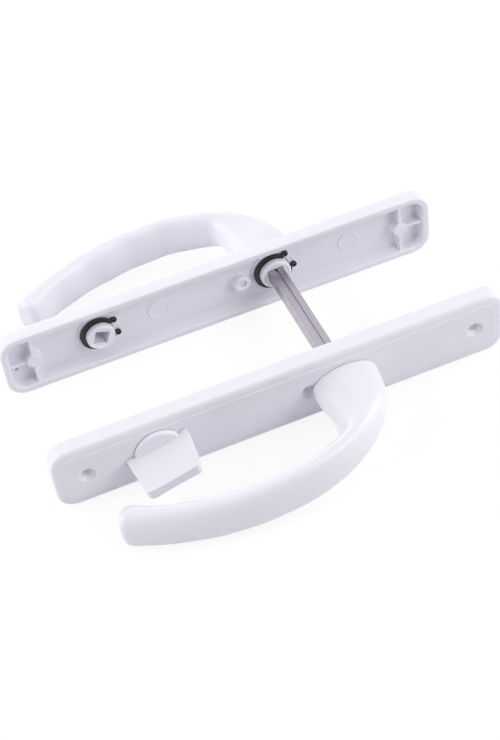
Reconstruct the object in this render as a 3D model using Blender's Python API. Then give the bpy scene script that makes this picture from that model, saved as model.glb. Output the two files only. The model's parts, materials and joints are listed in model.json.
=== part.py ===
"""Privacy door handle: two long plates joined by one square spindle.

X runs along the plates, Y through the door and Z up. The handle stands on the
long edges of its two plates, as it lies on a table before it is fitted. The
inner plate, which faces -Y, carries a D-shaped lever and a thumb turn. The
outer plate faces +Y and carries the same lever and a coin release.

On each side, depth is the distance from the plate's rim, which meets the door,
towards the plate's face and beyond it to the lever.
"""
import math

import bmesh
import bpy
from mathutils import Matrix, Vector

MM = 0.001

# Clearances
FIT_GAP = 0.3 * MM          # between pieces that touch or turn on each other
SOCKET_GAP = 0.25 * MM      # on each side of the spindle in its sockets
REST_GAP = 0.1 * MM         # under a lever whose tip rests on the table

# Plates: trays with straight sides, a broad soft border and a raised panel
PLATE_LENGTH = 232 * MM
PLATE_WIDTH = 36 * MM
PLATE_DEPTH = 9.4 * MM
PLATE_DRAFT = 0.2 * MM      # lean of the sides, from the rim to the border
PLATE_CORNER = 9.5 * MM
LEAST_CORNER = 0.8 * MM     # of outlines set in further than the corner allows
BORDER_DROP = 1.7 * MM      # how far the soft border falls from the face
BORDER_WIDTH = 4.4 * MM
RIM_WALL = 3.4 * MM
RIM_ROUND = 0.8 * MM
FACE_WALL = 3.1 * MM
INNER_DRAFT = 1.2 * MM
FLOOR_ROUND = 0.6 * MM
PANEL_MARGIN = 0.3 * MM     # from the border to the foot of the panel's step
PANEL_STEP = 0.3 * MM
BORDER_STEPS = 6
DOOR_GAP = 73.0 * MM        # between the two rims, as far apart as shown

# Places along the plates
SPINDLE_X = 30.3 * MM
HUB_SPACING = 95.0 * MM     # from the spindle to the thumb turn
SCREW_SPACING = 200.0 * MM

# What stands on the floor of each tray
BOSS_RADIUS = 3.9 * MM
BOSS_TOP = 0.8 * MM         # depth below the rim
RIB_WIDTH = 1.8 * MM
RIB_TOP = 1.2 * MM
END_RIB_TOP = 1.5 * MM
MIDDLE_SCREW_OFFSET = 18.0 * MM     # from the spindle, towards the turn
MIDDLE_BOSS_RADIUS = 4.5 * MM
MIDDLE_BOSS_BORE = 2.1 * MM
MIDDLE_BOSS_TOP = 1.8 * MM
PAD_X = (-32.5 * MM, 72.5 * MM)
PAD_RADIUS = 5.8 * MM
PAD_HEIGHT = 0.35 * MM
PAD_DISH_RADIUS = 4.6 * MM
PAD_DISH_DEPTH = 0.2 * MM
BOSS_ROOT = 0.33            # shares of the face wall that each runs into, all
CROSS_RIB_ROOT = 0.25       # different so that no two faces coincide
END_RIB_ROOT = 0.2

# Countersunk screw holes of the inner plate
SCREW_BORE = 2.2 * MM
SCREW_HEAD = 4.3 * MM
SCREW_LAND = 0.3 * MM       # straight rim of the countersink

# Small blind hole in the outer plate's floor, near its turn end
PIN_HOLE_RADIUS = 0.9 * MM
PIN_HOLE_DEPTH = 1.5 * MM
PIN_HOLE_FROM_END = 6.8 * MM
PIN_HOLE_BELOW = 6.2 * MM   # from the plate's line

# Hubs: the round necks that run in the plates' bores
LEVER_HUB_RADIUS = 8.2 * MM
TURN_HUB_RADIUS = 7.4 * MM
HUB_END = 0.25 * MM         # depth of the hub's end below the rim
HUB_CHAMFER = 0.5 * MM
GROOVE_DEPTH = 0.8 * MM
WASHER_THICKNESS = 0.8 * MM
WASHER_WIDTH = 3.5 * MM     # radial
CLIP_THICKNESS = 1.2 * MM
CLIP_BACK_WIDTH = 3.1 * MM  # radial width opposite the gap
CLIP_END_WIDTH = 2.2 * MM   # radial width beside the lugs
CLIP_GAP = 50.0             # degrees left open between the ring's ends
CLIP_STEPS = 32
LUG_RADIUS = 1.6 * MM
LUG_OUT = 3.2 * MM          # from the ring's inner edge to the lug's middle
LUG_HOLE = 0.75 * MM
LEVER_CLIP_TURN = 22.0      # degrees from +X up to the middle of the gap
TURN_CLIP_TURN = 26.5

# Spindle
SPINDLE_SIDE = 8.0 * MM
SPINDLE_CHAMFER = 0.35 * MM
SPINDLE_GROOVE_WIDTH = 1.1 * MM
SPINDLE_GROOVE_DEPTH = 0.6 * MM
SPINDLE_HOLD = 10.0 * MM    # how far it reaches into the outer hub
SOCKET_DEPTH = 35.0 * MM    # of the levers' square sockets

# Lever: hand-picked points of its outline in plan, as (along the grip,
# outward from the plate's face), with half the height of the section there
LEVER_OUTER = (
    (-17.1, 0.0), (-15.4, 12.2), (-11.7, 23.7), (-3.2, 34.3), (9.8, 43.7),
    (27.5, 50.8), (50.3, 54.5), (77.2, 53.6), (103.0, 47.0), (125.5, 37.6),
)
LEVER_INNER = (
    (16.6, 0.0), (17.2, 7.7), (15.6, 21.0), (17.4, 33.1), (22.2, 37.9),
    (32.8, 41.7), (48.4, 44.2), (72.4, 42.5), (97.0, 36.5), (116.5, 26.5),
)
LEVER_HALF_HEIGHT = (10.0, 10.0, 10.0, 10.5, 11.2, 11.8, 12.0, 12.0, 11.6, 11.2)
LEVER_STEPS = 4             # rings between two neighbouring points
LEVER_SIDES = 24
LEVER_SQUARENESS = 2.7      # 2 is an ellipse, more is squarer
TIP_ROUND = 4.6 * MM
TIP_STEPS = 5
SCALLOP_START = 30.0 * MM   # along the grip
SCALLOP_PITCH = 21.5 * MM
SCALLOP_COUNT = 4
SCALLOP_DEPTH = 1.2 * MM

# Thumb turn: a flat blade across a low round rose
ROSE_RADIUS = 12.0 * MM
ROSE_HEIGHT = 2.5 * MM
ROSE_ROUND = 0.8 * MM
BLADE_HEIGHT = 23.2 * MM
BLADE_ROOT_WIDTH = 32.0 * MM
BLADE_TIP_WIDTH = 28.0 * MM
BLADE_ROOT_THICKNESS = 7.6 * MM
BLADE_TIP_THICKNESS = 6.4 * MM
BLADE_DISH = 0.5 * MM
BLADE_CORNER = 3.0 * MM
BLADE_EDGE = 0.9 * MM
BLADE_EDGE_LIMIT = 0.45     # share of the thickness that the edge may take
BLADE_DISH_STEPS = 8
BLADE_STEPS = 6
TURN_SOCKET_SIDE = 7.5 * MM
TURN_SOCKET_DEPTH = 10.0 * MM
TURN_ANGLE = 13.3           # degrees the blade stands off the plate's line
RELEASE_ANGLE = -20.0

# Coin release
RELEASE_RADIUS = 11.0 * MM
RELEASE_HEIGHT = 2.6 * MM
RELEASE_ROUND = 1.0 * MM
SLOT_LENGTH = 15.0 * MM
SLOT_WIDTH = 2.4 * MM
SLOT_DEPTH = 1.8 * MM
SLOT_WEB = 1.0 * MM         # left between the slot and the square socket

ROUND_SEGMENTS = 32
SMOOTH_ANGLE = math.radians(38)
HUB_ROOT = 1.0 * MM         # how far a hub's shape runs into the casting it joins
CUT_PAST = 1.0 * MM         # how far a cutting shape runs past the surface
SAME_POINT = 0.001 * MM     # points nearer than this are one point

# Places that follow from the sizes above
AXIS_HEIGHT = PLATE_WIDTH / 2
TURN_X = SPINDLE_X - HUB_SPACING
END_SCREWS = (-SCREW_SPACING / 2, SCREW_SPACING / 2)
MIDDLE_SCREW = SPINDLE_X - MIDDLE_SCREW_OFFSET
FLOOR_DEPTH = PLATE_DEPTH - FACE_WALL
SHOULDER_DEPTH = PLATE_DEPTH + FIT_GAP
WASHER_BACK = FLOOR_DEPTH - FIT_GAP
CLIP_BACK = WASHER_BACK - WASHER_THICKNESS - FIT_GAP
GROOVE_BACK = CLIP_BACK + FIT_GAP
GROOVE_FRONT = CLIP_BACK - CLIP_THICKNESS - FIT_GAP
LEVER_SOCKET_SIDE = SPINDLE_SIDE + 2 * SOCKET_GAP

INNER = -1
OUTER = 1


def clear_scene():
    for old in list(bpy.data.objects):
        bpy.data.objects.remove(old)


def make_material(name, color, roughness, metallic=0.0):
    material = bpy.data.materials.new(name)
    material.use_nodes = True
    shader = material.node_tree.nodes["Principled BSDF"]
    shader.inputs["Base Color"].default_value = (*color, 1)
    shader.inputs["Roughness"].default_value = roughness
    shader.inputs["Metallic"].default_value = metallic
    material.diffuse_color = (*color, 1)
    return material


def add_object(name, bm, x, side, angle=0.0):
    """An object on the axis at x, with its origin in the plate's rim plane.

    The angle, in degrees, raises the piece's +X end.
    """
    bmesh.ops.recalc_face_normals(bm, faces=bm.faces[:])
    mesh = bpy.data.meshes.new(name)
    bm.to_mesh(mesh)
    bm.free()
    mesh.shade_smooth()
    mesh.set_sharp_from_angle(angle=SMOOTH_ANGLE)
    piece = bpy.data.objects.new(name, mesh)
    piece.location = (x, side * DOOR_GAP / 2, AXIS_HEIGHT)
    piece.rotation_euler = (0, -math.radians(angle), 0)
    bpy.context.scene.collection.objects.link(piece)
    return piece


def combine(piece, shape, name, operation):
    """Join a helper shape to a piece, or cut it away, in the piece's space."""
    helper = add_object(name, shape, 0, INNER)
    helper.matrix_world = piece.matrix_basis
    helper.hide_render = True
    helper.display_type = "WIRE"
    boolean = piece.modifiers.new(name, "BOOLEAN")
    boolean.operation = operation
    boolean.solver = "EXACT"
    boolean.object = helper


def merged(*shapes):
    """Several separate shapes in one bmesh."""
    whole = shapes[0]
    for shape in shapes[1:]:
        mesh = bpy.data.meshes.new("shape")
        shape.to_mesh(mesh)
        shape.free()
        whole.from_mesh(mesh)
        bpy.data.meshes.remove(mesh)
    return whole


def facing(shape, side):
    """Shapes are made facing -Y; the outer plate's are mirrored in the door."""
    if side == OUTER:
        bmesh.ops.scale(shape, vec=(1, -1, 1), verts=shape.verts[:])
        bmesh.ops.reverse_faces(shape, faces=shape.faces[:])
    return shape


def sweep(rings):
    """A solid through rings of points, made by extruding one face along them."""
    bm = bmesh.new()
    start = [bm.verts.new(point) for point in rings[0]]
    face = bm.faces.new(start)
    for ring in rings[1:]:
        face = bmesh.ops.extrude_discrete_faces(bm, faces=[face])["faces"][0]
        for vertex, point in zip(face.verts, ring):
            vertex.co = point
    bmesh.ops.holes_fill(bm, edges=[edge for edge in bm.edges if edge.is_boundary])
    bmesh.ops.recalc_face_normals(bm, faces=bm.faces[:])
    return bm


def turned(profile, segments=ROUND_SEGMENTS):
    """A solid of revolution about Y, from (radius, depth) pairs."""
    bm = bmesh.new()
    points = [bm.verts.new((radius, -depth, 0)) for radius, depth in profile]
    edges = [bm.edges.new(pair) for pair in zip(points, points[1:])]
    bmesh.ops.spin(bm, geom=points + edges, cent=(0, 0, 0), axis=(0, 1, 0),
                   angle=math.tau, steps=segments, use_merge=True)
    bmesh.ops.remove_doubles(bm, verts=bm.verts[:], dist=SAME_POINT)
    bmesh.ops.recalc_face_normals(bm, faces=bm.faces[:])
    return bm


def tube(inner, outer, near, far, segments=ROUND_SEGMENTS):
    profile = [(inner, near), (outer, near), (outer, far), (inner, far), (inner, near)]
    return turned(profile, segments)


def block(x, width, near, far, height):
    """A box centred on x and the plate's line, between two depths."""
    bm = bmesh.new()
    bmesh.ops.create_cube(bm, size=1)
    bmesh.ops.scale(bm, vec=(width, far - near, height), verts=bm.verts[:])
    bmesh.ops.translate(bm, vec=(x, -(near + far) / 2, 0), verts=bm.verts[:])
    return bm


def moved(shape, x):
    bmesh.ops.translate(shape, vec=(x, 0, 0), verts=shape.verts[:])
    return shape


def quarter_arc(radius, steps):
    """(along, across) pairs of a quarter circle, from the side to the end."""
    turns = [math.pi / 2 * step / steps for step in range(steps + 1)]
    return [(radius * math.sin(turn), radius * (1 - math.cos(turn))) for turn in turns]


def rounded_outline(inset, depth, corner_steps=5):
    """The plate's outline, set in from the rim, as points at one depth."""
    half_length = PLATE_LENGTH / 2 - inset
    half_width = PLATE_WIDTH / 2 - inset
    radius = max(PLATE_CORNER - inset, LEAST_CORNER)
    points = []
    for quarter, (across, up) in enumerate(((1, 1), (-1, 1), (-1, -1), (1, -1))):
        middle = Vector((across * (half_length - radius), up * (half_width - radius)))
        for step in range(corner_steps + 1):
            turn = math.pi / 2 * (quarter + step / corner_steps)
            x = middle.x + radius * math.cos(turn)
            z = middle.y + radius * math.sin(turn)
            points.append((x, -depth, z))
    return points


def plate_tray():
    """The tray: face panel, soft border, straight sides, rim and hollow."""
    face_depth = PLATE_DEPTH - PANEL_STEP
    side_depth = face_depth - BORDER_DROP
    foot = PLATE_DRAFT + BORDER_WIDTH + PANEL_MARGIN
    rings = [
        rounded_outline(foot + PANEL_STEP, PLATE_DEPTH),
        rounded_outline(foot, face_depth),
    ]
    for along, across in reversed(quarter_arc(1.0, BORDER_STEPS)):
        inset = PLATE_DRAFT + BORDER_WIDTH * across
        rings.append(rounded_outline(inset, side_depth + BORDER_DROP * along))
    rings += [
        rounded_outline(0, RIM_ROUND),
        rounded_outline(RIM_ROUND, 0),
        rounded_outline(RIM_WALL - RIM_ROUND, 0),
        rounded_outline(RIM_WALL, RIM_ROUND),
        rounded_outline(RIM_WALL + INNER_DRAFT, FLOOR_DEPTH - FLOOR_ROUND),
        rounded_outline(RIM_WALL + INNER_DRAFT + FLOOR_ROUND, FLOOR_DEPTH),
    ]
    return sweep(rings)


def floor_bosses():
    """Screw bosses at the ends, the middle screw's boss and two low pads."""
    root = FLOOR_DEPTH + FACE_WALL * BOSS_ROOT
    shapes = [
        moved(turned([(0, BOSS_TOP), (BOSS_RADIUS, BOSS_TOP), (BOSS_RADIUS, root), (0, root)]),
              place)
        for place in END_SCREWS
    ]
    middle = [
        (0, MIDDLE_BOSS_TOP), (MIDDLE_BOSS_RADIUS, MIDDLE_BOSS_TOP),
        (MIDDLE_BOSS_RADIUS, root), (0, root),
    ]
    shapes.append(moved(turned(middle, 24), MIDDLE_SCREW))
    pad_top = FLOOR_DEPTH - PAD_HEIGHT
    pad = [
        (0, pad_top + PAD_DISH_DEPTH), (PAD_DISH_RADIUS, pad_top + PAD_DISH_DEPTH),
        (PAD_DISH_RADIUS + PAD_DISH_DEPTH, pad_top), (PAD_RADIUS, pad_top),
        (PAD_RADIUS, root), (0, root),
    ]
    shapes += [moved(turned(pad, 24), place) for place in PAD_X]
    return merged(*shapes)


def cross_ribs():
    height = PLATE_WIDTH - 2 * RIM_WALL
    root = FLOOR_DEPTH + FACE_WALL * CROSS_RIB_ROOT
    return merged(*[block(place, RIB_WIDTH, RIB_TOP, root, height) for place in END_SCREWS])


def end_ribs():
    """From each screw boss to the end wall."""
    root = FLOOR_DEPTH + FACE_WALL * END_RIB_ROOT
    reach = (PLATE_LENGTH - SCREW_SPACING) / 2 - RIM_WALL
    middle = (SCREW_SPACING + reach) / 2
    places = (-middle, middle)
    return merged(*[block(place, reach, END_RIB_TOP, root, RIB_WIDTH) for place in places])


def plate_holes(countersunk):
    """Bores of the two hubs, and the screws' holes or the outer plate's own two."""
    past = PLATE_DEPTH + CUT_PAST
    shapes = []
    for place, hub_radius in ((SPINDLE_X, LEVER_HUB_RADIUS), (TURN_X, TURN_HUB_RADIUS)):
        radius = hub_radius + FIT_GAP
        bore = [(0, -CUT_PAST), (radius, -CUT_PAST), (radius, past), (0, past)]
        shapes.append(moved(turned(bore), place))
    if countersunk:
        sink = PLATE_DEPTH - SCREW_LAND
        hole = [
            (0, 0), (SCREW_BORE, 0), (SCREW_BORE, sink - (SCREW_HEAD - SCREW_BORE)),
            (SCREW_HEAD, sink), (SCREW_HEAD, past), (0, past),
        ]
        for place in (*END_SCREWS, MIDDLE_SCREW):
            shapes.append(moved(turned(hole, 24), place))
    else:
        bottom = FLOOR_DEPTH - PAD_HEIGHT
        socket = [(0, 0), (MIDDLE_BOSS_BORE, 0), (MIDDLE_BOSS_BORE, bottom), (0, bottom)]
        shapes.append(moved(turned(socket, 24), MIDDLE_SCREW))
        end = FLOOR_DEPTH + PIN_HOLE_DEPTH
        pin = [(0, 0), (PIN_HOLE_RADIUS, 0), (PIN_HOLE_RADIUS, end), (0, end)]
        hole = moved(turned(pin, 12), PIN_HOLE_FROM_END - PLATE_LENGTH / 2)
        bmesh.ops.translate(hole, vec=(0, 0, -PIN_HOLE_BELOW), verts=hole.verts[:])
        shapes.append(hole)
    return merged(*shapes)


def make_plate(name, side, countersunk):
    plate = add_object(name, facing(plate_tray(), side), 0, side)
    combine(plate, facing(floor_bosses(), side), name + "_bosses", "UNION")
    combine(plate, facing(cross_ribs(), side), name + "_cross_ribs", "UNION")
    combine(plate, facing(end_ribs(), side), name + "_end_ribs", "UNION")
    combine(plate, facing(plate_holes(countersunk), side), name + "_holes", "DIFFERENCE")
    return plate


def smooth_through(points, steps):
    """Points on a smooth curve through the given ones, with equal steps."""
    padded = [2 * points[0] - points[1], *points, 2 * points[-1] - points[-2]]
    curve = []
    for before, start, end, after in zip(padded, padded[1:], padded[2:], padded[3:]):
        for step in range(steps):
            t = step / steps
            curve.append(0.5 * (2 * start + (end - before) * t
                                + (2 * before - 5 * start + 4 * end - after) * t ** 2
                                + (3 * start - before - 3 * end + after) * t ** 3))
    return curve + [points[-1]]


def lever_section(middle, half_across, half_height):
    """One squarish oval ring of the lever, in the plane of half_across and Z."""
    ring = []
    for side in range(LEVER_SIDES):
        turn = math.tau * side / LEVER_SIDES
        power = 2 / LEVER_SQUARENESS
        across = math.copysign(abs(math.cos(turn)) ** power, math.cos(turn))
        up = math.copysign(abs(math.sin(turn)) ** power, math.sin(turn))
        flat = middle + half_across * across
        ring.append((-flat.x, -SHOULDER_DEPTH - flat.y, half_height * up))
    return ring


def scallop(along):
    """How far the finger scallops cut into the grip's inner edge."""
    waves = (along - SCALLOP_START) / SCALLOP_PITCH
    if not 0 < waves < SCALLOP_COUNT:
        return 0.0
    return SCALLOP_DEPTH * (1 - math.cos(math.tau * waves)) / 2


def lever_grip():
    """Neck, grip and rounded tip, swept through the sections."""
    outer = smooth_through([Vector(point) * MM for point in LEVER_OUTER], LEVER_STEPS)
    inner = smooth_through([Vector(point) * MM for point in LEVER_INNER], LEVER_STEPS)
    heights = smooth_through([height * MM for height in LEVER_HALF_HEIGHT], LEVER_STEPS)
    rings = []
    for outer_point, inner_point, height in zip(outer, inner, heights):
        across = outer_point - inner_point
        cut_point = inner_point + across.normalized() * scallop(inner_point.x)
        middle = (outer_point + cut_point) / 2
        rings.append(lever_section(middle, (outer_point - cut_point) / 2, height))
    across = (outer[-1] - inner[-1]) / 2
    middle = (outer[-1] + inner[-1]) / 2
    forward = Vector((across.y, -across.x)).normalized()
    for along, drop in quarter_arc(TIP_ROUND, TIP_STEPS)[1:]:
        narrow = 1 - drop / across.length
        low = 1 - drop / heights[-1]
        rings.append(lever_section(middle + forward * along, across * narrow, heights[-1] * low))
    return sweep(rings)


def hub(radius):
    """The turned neck with its circlip groove, as a shape to be joined on."""
    root = SHOULDER_DEPTH + HUB_ROOT
    groove = radius - GROOVE_DEPTH
    return turned([
        (0, HUB_END), (radius - HUB_CHAMFER, HUB_END), (radius, HUB_END + HUB_CHAMFER),
        (radius, GROOVE_FRONT), (groove, GROOVE_FRONT), (groove, GROOVE_BACK),
        (radius, GROOVE_BACK), (radius, root), (0, root),
    ])


def resting_droop(lever):
    """Degrees that the tip drops below level before it rests on the table."""
    points = [vertex.co for vertex in lever.data.vertices]
    low, high = 0.0, 45.0
    for _ in range(40):
        angle = (low + high) / 2
        turn = Matrix.Rotation(-math.radians(angle), 3, "Y")
        lowest = AXIS_HEIGHT + min((turn @ point).z for point in points)
        if lowest > REST_GAP:
            low = angle
        else:
            high = angle
    return low


def make_lever(name, side):
    lever = add_object(name, facing(lever_grip(), side), SPINDLE_X, side)
    droop = resting_droop(lever)
    lever.rotation_euler = (0, -math.radians(droop), 0)
    combine(lever, facing(hub(LEVER_HUB_RADIUS), side), name + "_hub", "UNION")
    end = HUB_END + SOCKET_DEPTH
    socket = block(0, LEVER_SOCKET_SIDE, HUB_END - CUT_PAST, end, LEVER_SOCKET_SIDE)
    combine(lever, facing(socket, side), name + "_socket", "DIFFERENCE")
    return lever, droop


def make_spindle(name, droop):
    """Square bar with a groove along its upper and lower faces."""
    half = SPINDLE_SIDE / 2
    edge = half - SPINDLE_CHAMFER
    groove = SPINDLE_GROOVE_WIDTH / 2
    bottom = half - SPINDLE_GROOVE_DEPTH
    upper = [(half, edge), (edge, half), (groove, half), (0, bottom), (-groove, half),
             (-edge, half), (-half, edge)]
    outline = upper + [(-x, -z) for x, z in upper]
    start = -(HUB_END + SOCKET_DEPTH - FIT_GAP)
    end = DOOR_GAP + HUB_END + SPINDLE_HOLD
    rings = []
    for y, shrink in ((start, SPINDLE_CHAMFER), (start + SPINDLE_CHAMFER, 0),
                      (end - SPINDLE_CHAMFER, 0), (end, SPINDLE_CHAMFER)):
        scale = 1 - shrink / half
        rings.append([(x * scale, y, z * scale) for x, z in outline])
    return add_object(name, sweep(rings), SPINDLE_X, INNER, droop)


def clip_radius(hub_radius):
    """The inner radius of a circlip that sits in a hub's groove."""
    return hub_radius - GROOVE_DEPTH + FIT_GAP


def circlip(radius, gap_turn):
    """An external circlip: a ring that narrows towards two drilled lugs."""
    open_half = math.radians(CLIP_GAP) / 2
    rings = []
    for step in range(CLIP_STEPS + 1):
        share = step / CLIP_STEPS
        turn = math.radians(gap_turn) + open_half + share * (math.tau - 2 * open_half)
        width = CLIP_END_WIDTH + (CLIP_BACK_WIDTH - CLIP_END_WIDTH) * math.sin(math.pi * share)
        across, up = math.cos(turn), math.sin(turn)
        corners = ((0, 0), (width, 0), (width, CLIP_THICKNESS), (0, CLIP_THICKNESS))
        rings.append([((radius + out) * across, -(CLIP_BACK - back), (radius + out) * up)
                      for out, back in corners])
    return sweep(rings)


def clip_lugs(radius, gap_turn, thickness, overshoot):
    """Round bars where the lugs are, to be joined on or, thinner, drilled out."""
    near = CLIP_BACK - CLIP_THICKNESS - overshoot
    far = CLIP_BACK + overshoot
    away = LUG_RADIUS + radius * math.sin(math.radians(CLIP_GAP / 2))
    lean = math.asin(away / (radius + LUG_OUT))
    shapes = []
    for turn in (math.radians(gap_turn) - lean, math.radians(gap_turn) + lean):
        lug = turned([(0, near), (thickness, near), (thickness, far), (0, far)], 16)
        place = (radius + LUG_OUT) * Vector((math.cos(turn), 0, math.sin(turn)))
        bmesh.ops.translate(lug, vec=place, verts=lug.verts[:])
        shapes.append(lug)
    return merged(*shapes)


def make_circlip(name, x, side, hub_radius, gap_turn, angle):
    """The gap's direction is seen from the hollow side of the outer plate."""
    radius = clip_radius(hub_radius)
    clip = add_object(name, facing(circlip(radius, gap_turn), side), x, side, angle)
    lugs = facing(clip_lugs(radius, gap_turn, LUG_RADIUS, 0), side)
    combine(clip, lugs, name + "_lugs", "UNION")
    holes = facing(clip_lugs(radius, gap_turn, LUG_HOLE, CUT_PAST), side)
    combine(clip, holes, name + "_lug_holes", "DIFFERENCE")
    return clip


def make_washer(name, x, side, hub_radius):
    bore = hub_radius + FIT_GAP
    washer = tube(bore, bore + WASHER_WIDTH, WASHER_BACK - WASHER_THICKNESS, WASHER_BACK)
    return add_object(name, facing(washer, side), x, side)


def blade_ring(depth, width, thickness, dish):
    """One ring of the blade: rounded ends and slightly hollow broad faces."""
    corner = min(BLADE_EDGE, thickness * BLADE_EDGE_LIMIT)
    flat = width / 2 - corner
    rounding = [(flat + corner - across, thickness / 2 - corner + along)
                for along, across in quarter_arc(corner, 3)]
    hollow = [flat - 2 * flat * step / BLADE_DISH_STEPS for step in range(1, BLADE_DISH_STEPS)]
    upper = rounding + [(x, thickness / 2 - dish * (1 - (x / flat) ** 2)) for x in hollow]
    upper += [(-x, z) for x, z in reversed(rounding)]
    return [(x, -depth, z) for x, z in upper] + [(-x, -depth, -z) for x, z in upper]


def turn_blade():
    """The blade the fingers hold, narrower and thinner towards its end."""
    root = SHOULDER_DEPTH
    top = PLATE_DEPTH + BLADE_HEIGHT
    rings = []
    for step in range(BLADE_STEPS + 1):
        share = step / BLADE_STEPS
        depth = root + share * (top - BLADE_CORNER - root)
        width = BLADE_ROOT_WIDTH + share * (BLADE_TIP_WIDTH - BLADE_ROOT_WIDTH)
        thickness = BLADE_ROOT_THICKNESS + share * (BLADE_TIP_THICKNESS - BLADE_ROOT_THICKNESS)
        rings.append(blade_ring(depth, width, thickness, BLADE_DISH))
    for along, drop in quarter_arc(BLADE_CORNER, BLADE_STEPS)[1:]:
        depth = top - BLADE_CORNER + along
        past = max(0, BLADE_EDGE - (top - depth))
        edge = BLADE_EDGE - math.sqrt(max(0, BLADE_EDGE ** 2 - past ** 2))
        width = BLADE_TIP_WIDTH - 2 * drop
        rings.append(blade_ring(depth, width, BLADE_TIP_THICKNESS - 2 * edge, BLADE_DISH))
    return sweep(rings)


def domed_disc(radius, height, edge):
    """A round disc on the plate's face, with a rounded edge, about Y."""
    top = PLATE_DEPTH + height
    profile = [(0, SHOULDER_DEPTH), (radius, SHOULDER_DEPTH)]
    for along, across in quarter_arc(edge, 4):
        profile.append((radius - across, top - edge + along))
    return turned(profile + [(0, top)])


def add_turn_hub(piece, side, name, socket_end):
    combine(piece, facing(hub(TURN_HUB_RADIUS), side), name + "_hub", "UNION")
    socket = block(0, TURN_SOCKET_SIDE, HUB_END - CUT_PAST, socket_end, TURN_SOCKET_SIDE)
    combine(piece, facing(socket, side), name + "_socket", "DIFFERENCE")


def make_privacy_turn(name, side):
    rose = domed_disc(ROSE_RADIUS, ROSE_HEIGHT, ROSE_ROUND)
    turn = add_object(name, facing(rose, side), TURN_X, side, TURN_ANGLE)
    combine(turn, facing(turn_blade(), side), name + "_blade", "UNION")
    add_turn_hub(turn, side, name, HUB_END + TURN_SOCKET_DEPTH)
    return turn


def make_coin_release(name, side):
    disc = domed_disc(RELEASE_RADIUS, RELEASE_HEIGHT, RELEASE_ROUND)
    release = add_object(name, facing(disc, side), TURN_X, side, RELEASE_ANGLE)
    top = PLATE_DEPTH + RELEASE_HEIGHT
    add_turn_hub(release, side, name, top - SLOT_DEPTH - SLOT_WEB)
    slot = block(0, SLOT_LENGTH, top - SLOT_DEPTH, top + CUT_PAST, SLOT_WIDTH)
    combine(release, facing(slot, side), name + "_slot", "DIFFERENCE")
    return release


def build():
    clear_scene()
    white = make_material("painted_white", (0.86, 0.85, 0.90), 0.28)
    nylon = make_material("nylon_white", (0.80, 0.79, 0.82), 0.5)
    steel = make_material("zinc_plated_steel", (0.72, 0.72, 0.74), 0.28, 1.0)
    black = make_material("blackened_spring_steel", (0.012, 0.012, 0.014), 0.4, 0.6)

    inner_lever, droop = make_lever("inner_lever", INNER)
    outer_lever, droop = make_lever("outer_lever", OUTER)
    pieces = {
        white: [
            make_plate("inner_plate", INNER, countersunk=True),
            make_plate("outer_plate", OUTER, countersunk=False),
            inner_lever,
            outer_lever,
            make_privacy_turn("privacy_turn", INNER),
            make_coin_release("coin_release", OUTER),
        ],
        steel: [make_spindle("spindle", droop)],
        nylon: [
            make_washer("inner_lever_washer", SPINDLE_X, INNER, LEVER_HUB_RADIUS),
            make_washer("outer_lever_washer", SPINDLE_X, OUTER, LEVER_HUB_RADIUS),
            make_washer("privacy_turn_washer", TURN_X, INNER, TURN_HUB_RADIUS),
            make_washer("coin_release_washer", TURN_X, OUTER, TURN_HUB_RADIUS),
        ],
        black: [
            make_circlip("inner_lever_circlip", SPINDLE_X, INNER, LEVER_HUB_RADIUS,
                         LEVER_CLIP_TURN, droop),
            make_circlip("outer_lever_circlip", SPINDLE_X, OUTER, LEVER_HUB_RADIUS,
                         LEVER_CLIP_TURN, droop),
            make_circlip("privacy_turn_circlip", TURN_X, INNER, TURN_HUB_RADIUS,
                         TURN_CLIP_TURN, TURN_ANGLE),
            make_circlip("coin_release_circlip", TURN_X, OUTER, TURN_HUB_RADIUS,
                         TURN_CLIP_TURN, RELEASE_ANGLE),
        ],
    }
    for material, group in pieces.items():
        for piece in group:
            piece.data.materials.append(material)


build()
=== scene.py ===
"""Looks of the privacy door handle on a plain white floor.

White powder-coated castings, a drawn and zinc-plated spindle, nylon washers and
oil-blackened circlips. Each piece is modelled facing -Y, with its hub's axis on
the Y axis and the plate's rim at y = 0, and is then placed on its side of the
door. Depth is the distance from the rim towards the face and the lever.
"""

import json
import math

import bmesh
import bpy
from mathutils import Matrix, Vector


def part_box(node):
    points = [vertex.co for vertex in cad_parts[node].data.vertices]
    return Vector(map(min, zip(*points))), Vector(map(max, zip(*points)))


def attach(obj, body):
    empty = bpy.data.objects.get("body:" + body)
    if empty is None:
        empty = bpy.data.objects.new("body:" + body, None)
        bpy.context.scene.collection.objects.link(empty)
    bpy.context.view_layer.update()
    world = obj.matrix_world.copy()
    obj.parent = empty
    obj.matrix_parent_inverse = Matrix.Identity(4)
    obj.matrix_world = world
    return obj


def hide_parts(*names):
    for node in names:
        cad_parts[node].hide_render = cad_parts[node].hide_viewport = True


MM = 0.001
INNER = -1
OUTER = 1

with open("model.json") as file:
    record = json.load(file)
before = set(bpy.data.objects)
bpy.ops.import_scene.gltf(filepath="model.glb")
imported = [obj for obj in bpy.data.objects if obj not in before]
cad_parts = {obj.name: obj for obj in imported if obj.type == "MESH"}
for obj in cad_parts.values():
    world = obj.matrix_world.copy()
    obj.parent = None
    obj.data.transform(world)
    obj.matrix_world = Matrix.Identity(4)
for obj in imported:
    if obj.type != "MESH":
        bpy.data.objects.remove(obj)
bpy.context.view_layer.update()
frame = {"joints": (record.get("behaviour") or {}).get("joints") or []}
joints = {joint["name"]: joint for joint in frame["joints"]}

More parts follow.
